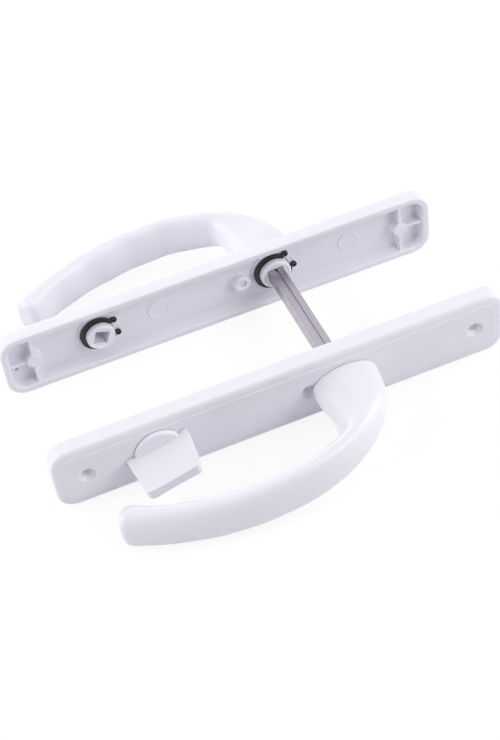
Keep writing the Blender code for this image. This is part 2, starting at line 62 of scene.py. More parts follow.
# Places and sizes read from the frame
AXIS_HEIGHT = joints["lever_turn"]["pos_m"][2]
SPINDLE_X = joints["lever_turn"]["pos_m"][0]
TURN_X = joints["thumb_turn_bolt"]["pos_m"][0]
RIM = {INNER: joints["lever_turn"]["pos_m"][1], OUTER: joints["outer_lever_turn"]["pos_m"][1]}
PLATE_LOW, PLATE_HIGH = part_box("inner_plate")
PLATE_LENGTH, PLATE_DEPTH, PLATE_WIDTH = PLATE_HIGH - PLATE_LOW
SPINDLE_LOW, SPINDLE_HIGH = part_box("spindle")
WASHER_LOW, WASHER_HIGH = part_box("inner_lever_washer")
CLIP_LOW, CLIP_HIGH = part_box("inner_lever_circlip")
HUB_END = RIM[INNER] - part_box("privacy_turn")[1].y
TURN_ANGLE = math.radians(joints["thumb_turn_bolt"]["range_deg"][1])
RELEASE_ANGLE = math.radians(joints["coin_release_turn"]["range_deg"][0])

# How fine the turned and rounded shapes are, and how near counts as equal
ROUND_STEPS = 96
SMALL_ROUND_STEPS = 40
FINE_HOLE_STEPS = 24
SMOOTH_ANGLE = math.radians(32)      # edges that turn less are shaded smooth
CREASE_ANGLE = math.radians(25)      # edges that turn more may be rounded
SAME_POINT = 0.001 * MM     # points nearer than this are one point
LEVEL = 0.01 * MM           # places that differ by less than this are level
FACING = 0.999              # least share of a normal that looks straight along an axis
MOSTLY_FACING = 0.9
PAST = 1.0 * MM             # how far a cutting shape runs past a surface

# Plates
PLATE_DRAFT = 0.2 * MM      # lean of the sides, from the rim to the border
PLATE_CORNER = 9.5 * MM
CORNER_STEPS = 14
BORDER_DROP = 1.7 * MM      # how far the soft border falls from the face
BORDER_WIDTH = 4.4 * MM
BORDER_STEPS = 12
RIM_WALL = 3.4 * MM
RIM_ROUND = 0.8 * MM
RIM_STEPS = 5
RIM_SLAB = 1.4 * MM         # straight-sided part of the wall, next to the rim
FACE_WALL = 3.1 * MM
FLOOR_DEPTH = PLATE_DEPTH - FACE_WALL
FLOOR_ROUND = 0.6 * MM
FLOOR_STEPS = 3
INNER_DRAFT = 1.2 * MM      # lean of the hollow's walls, from the rim to the floor
PANEL_MARGIN = 0.3 * MM     # from the border to the foot of the panel's step
PANEL_STEP = 0.3 * MM
PANEL_SLOPE = 0.45 * MM     # width of the step, softened by the coat
PANEL_SOFT = 0.15 * MM      # rounding of the step's upper edge
PANEL_STEPS = 3
SCREW_X = 100.0 * MM
MIDDLE_SCREW_OFFSET = 18.0 * MM      # from the spindle, towards the turn
MIDDLE_SCREW = SPINDLE_X - MIDDLE_SCREW_OFFSET
BOSS_RADIUS = 3.9 * MM
BOSS_TOP = 0.8 * MM
RIB_WIDTH = 1.8 * MM
RIB_TOP = 1.2 * MM
END_RIB_TOP = 1.5 * MM
CROSS_RIB_ROOT = 0.8 * MM   # how far each rib runs into the face wall, different
END_RIB_ROOT = 0.6 * MM     # so that no two faces coincide
MIDDLE_BOSS_RADIUS = 4.5 * MM
MIDDLE_BOSS_BORE = 2.1 * MM
MIDDLE_BOSS_TOP = 1.8 * MM
MIDDLE_BORE_DEPTH = 1.6 * MM
MIDDLE_BORE_MOUTH = 0.7 * MM   # width of the bore's soft mouth
PAD_X = (-32.5 * MM, 72.5 * MM)
PAD_RADIUS = 5.8 * MM
PAD_HEIGHT = 0.5 * MM
PAD_DISH = 0.3 * MM
PAD_RING = 1.2 * MM         # width of what stands round the dish
CAST_EDGE = 0.45 * MM       # rounding of a boss's or rib's upper edge
CAST_EDGE_STEPS = 3
CAST_FILLET = 0.9 * MM      # where it runs into the floor
CAST_FILLET_STEPS = 4
SCREW_BORE = 2.2 * MM
SCREW_HEAD = 4.3 * MM
SCREW_LAND = 0.3 * MM
PIN_HOLE_FROM_END = 6.8 * MM
PIN_HOLE_BELOW = 6.2 * MM   # from the plate's middle line
PIN_HOLE_RADIUS = 0.9 * MM
PIN_HOLE_DEPTH = 1.5 * MM

# Hubs, washers and circlips
FIT_GAP = 0.3 * MM
SHOULDER_DEPTH = PLATE_DEPTH + FIT_GAP
LEVER_HUB_RADIUS = 8.2 * MM
TURN_HUB_RADIUS = 7.4 * MM
HUB_EDGE = 1.0 * MM         # rounding of a hub's end
HUB_EDGE_STEPS = 4
HUB_RING = 1.5 * MM         # width of the raised ring on a hub's end
HUB_DISH = 0.35 * MM
HUB_ROOT = 1.0 * MM         # how far a hub's shape runs into its casting
GROOVE_DEPTH = 0.8 * MM
CLIP_NEAR = RIM[INNER] - CLIP_HIGH.y
CLIP_FAR = RIM[INNER] - CLIP_LOW.y
CLIP_BACK_WIDTH = 3.1 * MM  # radial width opposite the gap
CLIP_END_WIDTH = 2.2 * MM   # radial width beside the lugs
CLIP_GAP = math.radians(50)
LUG_RADIUS = 1.6 * MM
LUG_SIDES = 32
LUG_OUT = 3.2 * MM          # from the ring's inner edge to the lug's middle
LUG_HOLE = 0.75 * MM
LUG_DROP = 0.03 * MM        # from the ring's face down to the lug's
LEVER_CLIP_TURN = math.radians(22)   # from +X up to the middle of the gap
TURN_CLIP_TURN = math.radians(26.5)
WASHER_NEAR = RIM[INNER] - WASHER_HIGH.y
WASHER_FAR = RIM[INNER] - WASHER_LOW.y
WASHER_WIDTH = 3.5 * MM     # radial
WASHER_EDGE = 0.5 * MM
WASHER_EDGE_STEPS = 4
WASHER_SEAT = 0.25 * MM     # how much thicker it is, towards the tray's floor
LEVER_SOCKET = 8.5 * MM
LEVER_SOCKET_DEPTH = 35.0 * MM
TURN_SOCKET = 7.5 * MM
TURN_SOCKET_DEPTH = 10.0 * MM
SOCKET_CORNER = 0.4 * MM
SOCKET_STEPS = 3

# Levers: points of the outline in plan, as (along the grip, outward from the
# plate's face) in millimetres, with half the height of the section there and how
# square it is, from 2 for an ellipse upwards
LEVER_OUTER = (
    (-17.1, 0.0), (-15.4, 12.2), (-11.7, 23.7), (-3.2, 34.3), (9.8, 43.7),
    (27.5, 50.8), (50.3, 54.5), (77.2, 53.6), (103.0, 47.0), (125.5, 37.6),
)
LEVER_INNER = (
    (16.6, 0.0), (17.2, 7.7), (15.6, 21.0), (17.4, 33.1), (22.2, 37.9),
    (32.8, 41.7), (48.4, 44.2), (72.4, 42.5), (97.0, 36.5), (116.5, 26.5),
)
LEVER_HALF_HEIGHT = (10.0, 10.0, 10.0, 10.5, 11.2, 11.8, 12.0, 12.0, 11.6, 11.2)
LEVER_SQUARENESS = (2.0, 2.0, 2.1, 2.2, 2.35, 2.5, 2.5, 2.5, 2.5, 2.5)
LEVER_STEPS = 4             # rings between two neighbouring points
LEVER_SIDES = 16
LEVER_FINENESS = 2          # times that the coarse shape is subdivided
LEVER_SWELL = 1.015         # makes up for what subdivision takes off a section
LEVER_ROOT = 3.0 * MM       # how far its neck starts behind the flat foot
TIP_ROUND = 4.6 * MM
TIP_STEPS = 4
SCALLOP_START = 30.0 * MM   # along the grip
SCALLOP_PITCH = 21.5 * MM
SCALLOP_COUNT = 4
SCALLOP_DEPTH = 1.2 * MM
DROOP = math.radians(3.2)   # how far the lever's tip hangs below level

# Thumb turn and coin release
ROSE_RADIUS = 12.0 * MM
ROSE_HEIGHT = 2.5 * MM
ROSE_ROUND = 1.5 * MM
DISC_FOOT = 0.2 * MM        # chamfer of a disc next to the plate
DISC_STEPS = 6
BLADE_HEIGHT = 23.2 * MM    # from the plate's face to the blade's end
BLADE_ROOT_WIDTH = 32.0 * MM
BLADE_TIP_WIDTH = 28.0 * MM
BLADE_ROOT_THICKNESS = 7.6 * MM
BLADE_TIP_THICKNESS = 6.4 * MM
BLADE_DISH = 0.5 * MM       # hollow of its broad faces, for thumb and finger
BLADE_DISH_STEPS = 12
BLADE_CORNER = 3.0 * MM
BLADE_CORNER_STEPS = 8
BLADE_EDGE = 0.9 * MM
BLADE_EDGE_STEPS = 5
RELEASE_RADIUS = 11.0 * MM
RELEASE_HEIGHT = 2.6 * MM
RELEASE_ROUND = 1.0 * MM
SLOT_LENGTH = 15.0 * MM
SLOT_WIDTH = 2.4 * MM
SLOT_DEPTH = 1.8 * MM
SLOT_WEB = 1.0 * MM         # left between the slot and the square socket

# Spindle
SPINDLE_SIDE = 8.0 * MM
SPINDLE_CHAMFER = 0.35 * MM
SPINDLE_CHAMFER_STEPS = 2
SPINDLE_GROOVE_WIDTH = 1.5 * MM
SPINDLE_GROOVE_FLOOR = 0.8 * MM      # width at the bottom
SPINDLE_GROOVE_DEPTH = 0.9 * MM

# Finishes
COAT_PALE = "#F0EEF7"
COAT_DEEP = "#EAE8F1"
COAT_IOR = 1.5
PLATE_GLOSS = 0.36          # mean roughness of the coat on each kind of casting
LEVER_GLOSS = 0.30
TURN_GLOSS = 0.32
GLOSS_SPREAD = 0.03
CLOUD_SIZE = 14.0 * MM      # across one faint cloud in the coat
PEEL_SIZE = 1.1 * MM        # across one dimple of the orange peel
PEEL_HEIGHT = 0.012 * MM
PEEL_STRENGTH = 0.25
STEEL_DARK = "#99949F"
STEEL_BRIGHT = "#C8C3CD"
STEEL_ROUGHNESS = (0.24, 0.42)
STREAK_WIDTH = 0.25 * MM    # drawn wider than real ones, to show at this distance
STREAK_LENGTH = 30.0 * MM
STREAK_HEIGHT = 0.01 * MM
STREAK_STRENGTH = 0.3
PATCH_SIZE = 6.0 * MM       # across one dull patch in the zinc
OXIDE_DEEP = "#131116"
OXIDE_PALE = "#221F27"
OXIDE_ROUGHNESS = (0.35, 0.55)
BATH_SIZE = 1.5 * MM        # across one uneven spot from the bath
NYLON_PALE = "#EEECF4"
NYLON_DEEP = "#E6E4EC"
NYLON_ROUGHNESS = 0.5
NYLON_IOR = 1.53
GRAIN_SIZE = 0.6 * MM       # across one grain of the mould's face
GRAIN_HEIGHT = 0.01 * MM
GRAIN_STRENGTH = 0.2

# Studio, with its places and sizes in metres
FLOOR_SIZE = 2.4
FLOOR_BOUNCE = "#E6E2E8"    # how pale the floor looks to the handle
FLOOR_SHADE = 0.2           # share of a white floor's own light and shadow
FLOOR_GLOW = 0.82           # what fills it up to white for the camera
WORLD_LIGHT = 0.24
WHITE = (1, 1, 1, 1)
BOX_SIZE = 1.2
BOXES = (                   # soft boxes: name, place and watts
    ("top", (0.0, 0.0, 2.0), 5.0),
    ("left", (-1.8, 0.0, 0.9), 20.0),
    ("right", (1.8, 0.0, 0.9), 16.8),
    ("front_right", (1.2, -1.2, 1.0), 14.5),
    ("low_back", (0.0, 2.0, 0.4), 14.5),
    ("back_left", (-1.2, 1.2, 1.0), 8.0),
)
CAMERA_PLACE = (-0.17116, -0.59313, 0.62629)
CAMERA_TURN = math.radians(-15.92)
CAMERA_RISE = math.radians(45.53)
CAMERA_ROLL = math.radians(-8.80)
FOCAL_LENGTH = 85.88        # in millimetres, as is the sensor's width
SENSOR_WIDTH = 36.0


# Shapes

def bevelled(bm, edges, offset, segments):
    """Rounds these edges."""
    bmesh.ops.bevel(bm, geom=list(edges), offset=offset, offset_type="OFFSET",
                    affect="EDGES", segments=segments, profile=0.5, material=-1,
                    clamp_overlap=True)


def evaluated(thing, *helpers):
    """The shape of a temporary object with its modifiers, as a bmesh."""
    graph = bpy.context.evaluated_depsgraph_get()
    shape = thing.evaluated_get(graph)
    bm = bmesh.new()
    bm.from_mesh(shape.to_mesh())
    shape.to_mesh_clear()
    for old in (thing, *helpers):
        bpy.data.objects.remove(old)
    return bm


def temporary(bm):
    """An object that holds a shape while a modifier works on it."""
    mesh = bpy.data.meshes.new("shape")
    bm.to_mesh(mesh)
    bm.free()
    thing = bpy.data.objects.new("shape", mesh)
    bpy.context.scene.collection.objects.link(thing)
    return thing


def combined(bm, other, operation):
    """One shape joined to another, or cut by it."""
    thing, tool = temporary(bm), temporary(other)
    boolean = thing.modifiers.new("combine", "BOOLEAN")
    boolean.object = tool
    boolean.operation = operation
    boolean.solver = "EXACT"
    return evaluated(thing, tool)


def subdivided(bm, levels):
    """The smooth surface that a coarse shape stands for."""
    thing = temporary(bm)
    surface = thing.modifiers.new("surface", "SUBSURF")
    surface.levels = levels
    surface.render_levels = levels
    return evaluated(thing)


def moved(bm, x=0.0, y=0.0, z=0.0):
    """The same shape, further along."""
    bmesh.ops.translate(bm, vec=(x, y, z), verts=bm.verts[:])
    return bm


def arc(radius, steps):
    """(along, across) pairs of a quarter circle, from the side to the end."""
    turns = [math.pi / 2 * step / steps for step in range(steps + 1)]
    return [(radius * math.sin(turn), radius * (1 - math.cos(turn))) for turn in turns]


def turned(profile, steps=ROUND_STEPS):
    """A solid of revolution about the Y axis, from (radius, depth) pairs."""
    bm = bmesh.new()
    points = [bm.verts.new((radius, -depth, 0)) for radius, depth in profile]
    edges = [bm.edges.new(pair) for pair in zip(points, points[1:])]
    bmesh.ops.spin(bm, geom=points + edges, cent=(0, 0, 0), axis=(0, 1, 0),
                   angle=math.tau, steps=steps, use_merge=True)
    bmesh.ops.remove_doubles(bm, verts=bm.verts[:], dist=SAME_POINT)
    bmesh.ops.recalc_face_normals(bm, faces=bm.faces[:])
    return bm


def bore(radius, near, far, steps=SMALL_ROUND_STEPS):
    """A plain round bar on the axis, between two depths."""
    return turned([(0, near), (radius, near), (radius, far), (0, far)], steps)


def block(width, near, far, height):
    """A box on the axis, between two depths."""
    bm = bmesh.new()
    bmesh.ops.create_cube(bm, size=1)
    bmesh.ops.scale(bm, vec=(width, far - near, height), verts=bm.verts[:])
    return moved(bm, y=-(near + far) / 2)


def drawn_out(outline, travel):
    """The solid that a flat outline leaves as it moves along a straight line."""
    bm = bmesh.new()
    face = bm.faces.new([bm.verts.new(point) for point in outline])
    grown = bmesh.ops.extrude_face_region(bm, geom=[face])["geom"]
    bmesh.ops.translate(bm, vec=travel,
                        verts=[part for part in grown if isinstance(part, bmesh.types.BMVert)])
    return bm


def close_openings(bm):
    """Fills what is open and turns all faces outwards."""
    bmesh.ops.holes_fill(bm, edges=[edge for edge in bm.edges if edge.is_boundary])
    bmesh.ops.recalc_face_normals(bm, faces=bm.faces[:])


def clean(bm):
    """Merges doubled points, drops slivers and fills the pinholes that they leave."""
    bmesh.ops.remove_doubles(bm, verts=bm.verts[:], dist=SAME_POINT)
    bmesh.ops.dissolve_degenerate(bm, edges=bm.edges[:], dist=SAME_POINT)
    close_openings(bm)


def end_face(bm, direction):
    """The largest face that looks in a direction."""
    bm.normal_update()
    faces = [face for face in bm.faces if face.normal.dot(Vector(direction)) > FACING]
    return max(faces, key=lambda face: face.calc_area())


def edges_along(edges, axis):
    """Those edges of a block that run along X, Y or Z, given as 0, 1 or 2."""
    return [edge for edge in edges
            if abs(edge.verts[0].co[axis] - edge.verts[1].co[axis]) > LEVEL]


def sharp_edges(bm, depth):
    """The creased edges that lie at one depth."""
    return [edge for edge in bm.edges
            if all(abs(vertex.co.y + depth) < LEVEL for vertex in edge.verts)
            and len(edge.link_faces) == 2 and edge.calc_face_angle() > CREASE_ANGLE]


# Plates

def tray():
    """The casting's skin: straight sides, soft border, raised panel, hollow."""
    bm = block(PLATE_LENGTH, 0, RIM_SLAB, PLATE_WIDTH)
    bevelled(bm, edges_along(bm.edges, 1), PLATE_CORNER, CORNER_STEPS)
    face = end_face(bm, (0, -1, 0))
    side_depth = PLATE_DEPTH - PANEL_STEP - BORDER_DROP
    section = [(0, RIM_SLAB)]
    section += [(PLATE_DRAFT + BORDER_WIDTH * across, side_depth + BORDER_DROP * along)
                for along, across in arc(1, BORDER_STEPS)]
    foot = PLATE_DRAFT + BORDER_WIDTH + PANEL_MARGIN
    section += [(foot, PLATE_DEPTH - PANEL_STEP), (foot + PANEL_SLOPE, PLATE_DEPTH)]
    for (inset, depth), (next_inset, next_depth) in zip(section, section[1:]):
        bmesh.ops.inset_region(bm, faces=[face], thickness=next_inset - inset,
                               depth=next_depth - depth, use_even_offset=True)
    bevelled(bm, face.edges, PANEL_SOFT, PANEL_STEPS)
    hollow = end_face(bm, (0, 1, 0))
    bmesh.ops.inset_region(bm, faces=[hollow], thickness=RIM_WALL, use_even_offset=True)
    bmesh.ops.inset_region(bm, faces=[hollow], thickness=INNER_DRAFT, depth=-FLOOR_DEPTH,
                           use_even_offset=True)
    bevelled(bm, hollow.edges, FLOOR_ROUND, FLOOR_STEPS)
    bevelled(bm, sharp_edges(bm, 0), RIM_ROUND, RIM_STEPS)
    return bm


def cast_side(half_width, top, root):
    """(half width, depth) pairs down one side of a boss or rib, and on to its root."""
    side = [(half_width - across, top + CAST_EDGE - along)
            for along, across in reversed(arc(CAST_EDGE, CAST_EDGE_STEPS))]
    side += [(half_width + across, FLOOR_DEPTH - CAST_FILLET + along)
             for along, across in arc(CAST_FILLET, CAST_FILLET_STEPS)]
    return side + [(half_width + CAST_FILLET, FLOOR_DEPTH + root)]


def boss(radius, top):
    """A round boss with a rounded upper edge and a fillet at the floor."""
    profile = [(0, top), *cast_side(radius, top, PAST), (0, FLOOR_DEPTH + PAST)]
    return turned(profile, SMALL_ROUND_STEPS)


def rib(length, top, root):
    """A rib along X with rounded upper edges and a fillet at the floor."""
    side = cast_side(RIB_WIDTH / 2, top, root)
    section = side + [(-z, depth) for z, depth in reversed(side)]
    outline = [(-length / 2, -depth, z) for z, depth in section]
    return drawn_out(outline, (length, 0, 0))


def pad():
    """A low round pad with a shallow dish, as an ejector leaves it."""
    top = FLOOR_DEPTH - PAD_HEIGHT
    inside = PAD_RADIUS - PAD_RING
    return turned([(0, top + PAD_DISH), (inside, top + PAD_DISH), (inside + PAD_DISH, top),
                   (PAD_RADIUS - PAD_DISH, top), (PAD_RADIUS, top + PAD_DISH),
                   (PAD_RADIUS, FLOOR_DEPTH + PAST), (0, FLOOR_DEPTH + PAST)],
                  SMALL_ROUND_STEPS)


def countersink():
    """What is cut away for a countersunk screw."""
    sink = PLATE_DEPTH - SCREW_LAND
    past = PLATE_DEPTH + PAST
    return turned([(0, -PAST), (SCREW_BORE, -PAST), (SCREW_BORE, sink - (SCREW_HEAD - SCREW_BORE)),
                   (SCREW_HEAD, sink), (SCREW_HEAD, past), (0, past)], SMALL_ROUND_STEPS)


def middle_bore():
    """The blind hole of the middle boss, which widens to a soft mouth."""
    mouth = MIDDLE_BOSS_BORE + MIDDLE_BORE_MOUTH
    below = MIDDLE_BOSS_TOP + MIDDLE_BORE_MOUTH
    bottom = MIDDLE_BOSS_TOP + MIDDLE_BORE_DEPTH
    return turned([(0, 0), (mouth, 0), (mouth, MIDDLE_BOSS_TOP), (MIDDLE_BOSS_BORE, below),
                   (MIDDLE_BOSS_BORE, bottom), (0, bottom)], SMALL_ROUND_STEPS)


def plate(countersunk):
    """A backplate: the inner one takes the screws' heads, the outer one their ends."""
    bm = tray()
    for pad_x in PAD_X:
        bm = combined(bm, moved(pad(), pad_x), "UNION")
    middle = boss(MIDDLE_BOSS_RADIUS, MIDDLE_BOSS_TOP)
    bm = combined(bm, moved(middle, MIDDLE_SCREW), "UNION")
    reach = PLATE_LENGTH / 2 - SCREW_X - RIM_WALL
    for end in (-1, 1):
        across = rib(PLATE_WIDTH - 2 * RIM_WALL, RIB_TOP, CROSS_RIB_ROOT)
        bmesh.ops.rotate(across, cent=(0, 0, 0), matrix=Matrix.Rotation(math.pi / 2, 3, "Y"),
                         verts=across.verts[:])
        along = moved(rib(reach, END_RIB_TOP, END_RIB_ROOT), end * (SCREW_X + reach / 2))
        bm = combined(bm, moved(across, end * SCREW_X), "UNION")
        bm = combined(bm, along, "UNION")
        bm = combined(bm, moved(boss(BOSS_RADIUS, BOSS_TOP), end * SCREW_X), "UNION")
    for hub_x, radius in ((SPINDLE_X, LEVER_HUB_RADIUS), (TURN_X, TURN_HUB_RADIUS)):
        through = bore(radius + FIT_GAP, -PAST, PLATE_DEPTH + PAST, ROUND_STEPS)
        bm = combined(bm, moved(through, hub_x), "DIFFERENCE")
    if countersunk:
        for screw_x in (-SCREW_X, MIDDLE_SCREW, SCREW_X):
            bm = combined(bm, moved(countersink(), screw_x), "DIFFERENCE")
        return bm
    bm = combined(bm, moved(middle_bore(), MIDDLE_SCREW), "DIFFERENCE")
    pin = bore(PIN_HOLE_RADIUS, 0, FLOOR_DEPTH + PIN_HOLE_DEPTH, FINE_HOLE_STEPS)
    pin_x = PIN_HOLE_FROM_END - PLATE_LENGTH / 2
    return combined(bm, moved(pin, x=pin_x, z=-PIN_HOLE_BELOW), "DIFFERENCE")


# Levers

def smooth_through(points, steps):
    """Points on a smooth curve through the given ones, with equal steps."""
    padded = [2 * points[0] - points[1], *points, 2 * points[-1] - points[-2]]
    curve = []
    for before, start, end, after in zip(padded, padded[1:], padded[2:], padded[3:]):
        for step in range(steps):
            share = step / steps
            curve.append((2 * start + (end - before) * share
                          + (2 * before - 5 * start + 4 * end - after) * share ** 2
                          + (3 * start - before - 3 * end + after) * share ** 3) / 2)
    return curve + [points[-1]]


def scallop(along):
    """How far the finger scallops cut into the grip's inner edge."""
    waves = (along - SCALLOP_START) / SCALLOP_PITCH
    if not 0 < waves < SCALLOP_COUNT:
        return 0.0
    return SCALLOP_DEPTH * (1 - math.cos(math.tau * waves)) / 2


def station(middle, half_across, half_height):
    """Where a unit section goes: its X across the grip, its Y up."""
    forward = Vector((half_across.y, -half_across.x)).normalized()
    swollen = half_across * LEVER_SWELL
    place = Matrix.Identity(4)
    place.col[0] = (-swollen.x, -swollen.y, 0, 0)
    place.col[1] = (0, 0, half_height * LEVER_SWELL, 0)
    place.col[2] = (-forward.x, -forward.y, 0, 0)
    place.col[3] = (-middle.x, -SHOULDER_DEPTH - middle.y, 0, 1)
    return place


def lever_stations():
    """Where each section goes, from behind the foot to the rounded tip."""
    outer = smooth_through([Vector(point) * MM for point in LEVER_OUTER], LEVER_STEPS)
    inner = smooth_through([Vector(point) * MM for point in LEVER_INNER], LEVER_STEPS)
    heights = smooth_through([height * MM for height in LEVER_HALF_HEIGHT], LEVER_STEPS)
    foot = (outer[0] + inner[0]) / 2
    places = [station(foot - Vector((0, LEVER_ROOT)), (outer[0] - inner[0]) / 2, heights[0])]
    for outer_point, inner_point, height in zip(outer, inner, heights):
        across = outer_point - inner_point
        cut_point = inner_point + across.normalized() * scallop(inner_point.x)
        places.append(station((outer_point + cut_point) / 2, (outer_point - cut_point) / 2, height))
    across = (outer[-1] - inner[-1]) / 2
    middle = (outer[-1] + inner[-1]) / 2
    forward = Vector((across.y, -across.x)).normalized()
    for along, drop in arc(TIP_ROUND, TIP_STEPS)[1:]:
        narrow = 1 - drop / across.length
        low = 1 - drop / heights[-1]
        places.append(station(middle + forward * along, across * narrow, heights[-1] * low))
    return places


def squarish(value, squareness):
    """Moves a point's sine or cosine from a circle to a squarer outline."""
    return math.copysign(abs(value) ** (2 / squareness), value)


def lever_grip():
    """Neck, grip and rounded tip: one section carried through its stations."""
    bm = bmesh.new()
    bmesh.ops.create_circle(bm, cap_ends=True, segments=LEVER_SIDES, radius=1)
    section = bm.faces[:][0]
    places = lever_stations()
    bmesh.ops.transform(bm, matrix=places[0], verts=section.verts[:])
    rings = [section.verts[:]]
    for last, place in zip(places, places[1:]):
        section = bmesh.ops.extrude_discrete_faces(bm, faces=[section])["faces"][0]
        bmesh.ops.transform(bm, matrix=place @ last.inverted(), verts=section.verts[:])
        rings.append(section.verts[:])
    along = smooth_through(LEVER_SQUARENESS, LEVER_STEPS)
    along = [along[0], *along, *[along[-1]] * TIP_STEPS]
    for ring, place, squareness in zip(rings, places, along):
        flat = place.inverted()
        for vertex in ring:
            unit = flat @ vertex.co
            vertex.co = place @ Vector((squarish(unit.x, squareness),
                                        squarish(unit.y, squareness), 0))
    close_openings(bm)
    bm = subdivided(bm, LEVER_FINENESS)
    bmesh.ops.bisect_plane(bm, geom=bm.verts[:] + bm.edges[:] + bm.faces[:],
                           plane_co=(0, -SHOULDER_DEPTH, 0), plane_no=(0, 1, 0),
                           clear_outer=True)
    close_openings(bm)
    return bm


def hub(radius):
    """The turned neck that runs in the plate, with its circlip groove."""
    root = SHOULDER_DEPTH + HUB_ROOT
    groove, near, far = radius - GROOVE_DEPTH, CLIP_NEAR - FIT_GAP, CLIP_FAR + FIT_GAP
    edge = [(radius - across, HUB_END + HUB_EDGE - along)
            for along, across in reversed(arc(HUB_EDGE, HUB_EDGE_STEPS))]
    dish, ring = HUB_END + HUB_DISH, radius - HUB_RING
    return turned([(0, dish), (ring - HUB_DISH, dish), (ring, HUB_END), *edge, (radius, near),
                   (groove, near), (groove, far), (radius, far), (radius, root), (0, root)])


def socket(side, end):
    """The square hole that a spindle fits."""
    bm = block(side, HUB_END - PAST, end, side)
    bevelled(bm, edges_along(bm.edges, 1), SOCKET_CORNER, SOCKET_STEPS)
    return bm


def lever():
    """Grip and hub in one casting, with the spindle's deep socket."""
    bm = combined(lever_grip(), hub(LEVER_HUB_RADIUS), "UNION")
    return combined(bm, socket(LEVER_SOCKET, HUB_END + LEVER_SOCKET_DEPTH), "DIFFERENCE")


# Thumb turn and coin release

def disc(radius, height, edge):
    """A round disc on the plate's face, with a rounded edge."""
    top = PLATE_DEPTH + height
    profile = [(0, SHOULDER_DEPTH), (radius - DISC_FOOT, SHOULDER_DEPTH),
               (radius, SHOULDER_DEPTH + DISC_FOOT)]
    profile += [(radius - across, top - edge + along) for along, across in arc(edge, DISC_STEPS)]
    return turned(profile + [(0, top)])


def blade():
    """What the fingers hold: a slab, narrower and thinner towards its end."""
    bm = block(BLADE_ROOT_WIDTH, SHOULDER_DEPTH, PLATE_DEPTH + BLADE_HEIGHT, BLADE_ROOT_THICKNESS)
    tip = end_face(bm, (0, -1, 0))
    bmesh.ops.scale(bm, vec=(BLADE_TIP_WIDTH / BLADE_ROOT_WIDTH, 1,
                             BLADE_TIP_THICKNESS / BLADE_ROOT_THICKNESS), verts=tip.verts[:])
    bevelled(bm, edges_along(tip.edges, 2), BLADE_CORNER, BLADE_CORNER_STEPS)
    for step in range(1, BLADE_DISH_STEPS):
        cut_x = BLADE_ROOT_WIDTH * (step / BLADE_DISH_STEPS - 0.5)
        bmesh.ops.bisect_plane(bm, geom=bm.verts[:] + bm.edges[:] + bm.faces[:],
                               plane_co=(cut_x, 0, 0), plane_no=(1, 0, 0))
    for vertex in bm.verts:
        share = 1 - (2 * vertex.co.x / BLADE_ROOT_WIDTH) ** 2
        vertex.co.z -= math.copysign(BLADE_DISH * share, vertex.co.z)
    bm.normal_update()
    outline = []
    for edge in bm.edges:
        broad = sum(abs(face.normal.z) > MOSTLY_FACING for face in edge.link_faces)
        root = any(face.normal.y > MOSTLY_FACING for face in edge.link_faces)
        if broad == 1 and not root:
            outline.append(edge)
    bevelled(bm, outline, BLADE_EDGE, BLADE_EDGE_STEPS)
    return bm


def privacy_turn():
    """Rose, blade and hub in one casting, with a square socket."""
    bm = combined(disc(ROSE_RADIUS, ROSE_HEIGHT, ROSE_ROUND), blade(), "UNION")
    bm = combined(bm, hub(TURN_HUB_RADIUS), "UNION")
    return combined(bm, socket(TURN_SOCKET, HUB_END + TURN_SOCKET_DEPTH), "DIFFERENCE")


def coin_release():
    """Disc and hub in one casting, with a square socket and a slot for a coin."""
    bm = disc(RELEASE_RADIUS, RELEASE_HEIGHT, RELEASE_ROUND)
    bm = combined(bm, hub(TURN_HUB_RADIUS), "UNION")
    top = PLATE_DEPTH + RELEASE_HEIGHT
    floor = top - SLOT_DEPTH
    bm = combined(bm, socket(TURN_SOCKET, floor - SLOT_WEB), "DIFFERENCE")
    return combined(bm, block(SLOT_LENGTH, floor, top + PAST, SLOT_WIDTH), "DIFFERENCE")


# Spindle, washers and circlips

def spindle():
    """Square bar with a groove along its upper and lower faces."""
    half = SPINDLE_SIDE / 2
    groove = SPINDLE_GROOVE_WIDTH / 2
    floor = SPINDLE_GROOVE_FLOOR / 2
    bottom = half - SPINDLE_GROOVE_DEPTH
    section = [(half, half), (groove, half), (floor, bottom), (-floor, bottom), (-groove, half),
               (-half, half)]
    section += [(-x, -z) for x, z in section]
    start = SPINDLE_HIGH.y - RIM[INNER]
    bm = drawn_out([(x, start, z) for x, z in section], (0, SPINDLE_LOW.y - SPINDLE_HIGH.y, 0))
    bmesh.ops.recalc_face_normals(bm, faces=bm.faces[:])
    corners = [edge for edge in bm.edges
               if all(abs(abs(vertex.co[axis]) - half) < LEVEL
                      for vertex in edge.verts for axis in (0, 2))]
    bevelled(bm, corners, SPINDLE_CHAMFER, SPINDLE_CHAMFER_STEPS)
    return bm


def washer(hub_radius):
    """A flat ring round a hub, rounded on the side of its circlip."""
    inside = hub_radius + FIT_GAP
    outside = inside + WASHER_WIDTH
    far = WASHER_FAR + WASHER_SEAT
    round_edge = [(outside - across, WASHER_NEAR + WASHER_EDGE - along)
                  for along, across in reversed(arc(WASHER_EDGE, WASHER_EDGE_STEPS))]
    return turned([(inside, WASHER_NEAR), *round_edge, (outside, far), (inside, far),
                   (inside, WASHER_NEAR)])


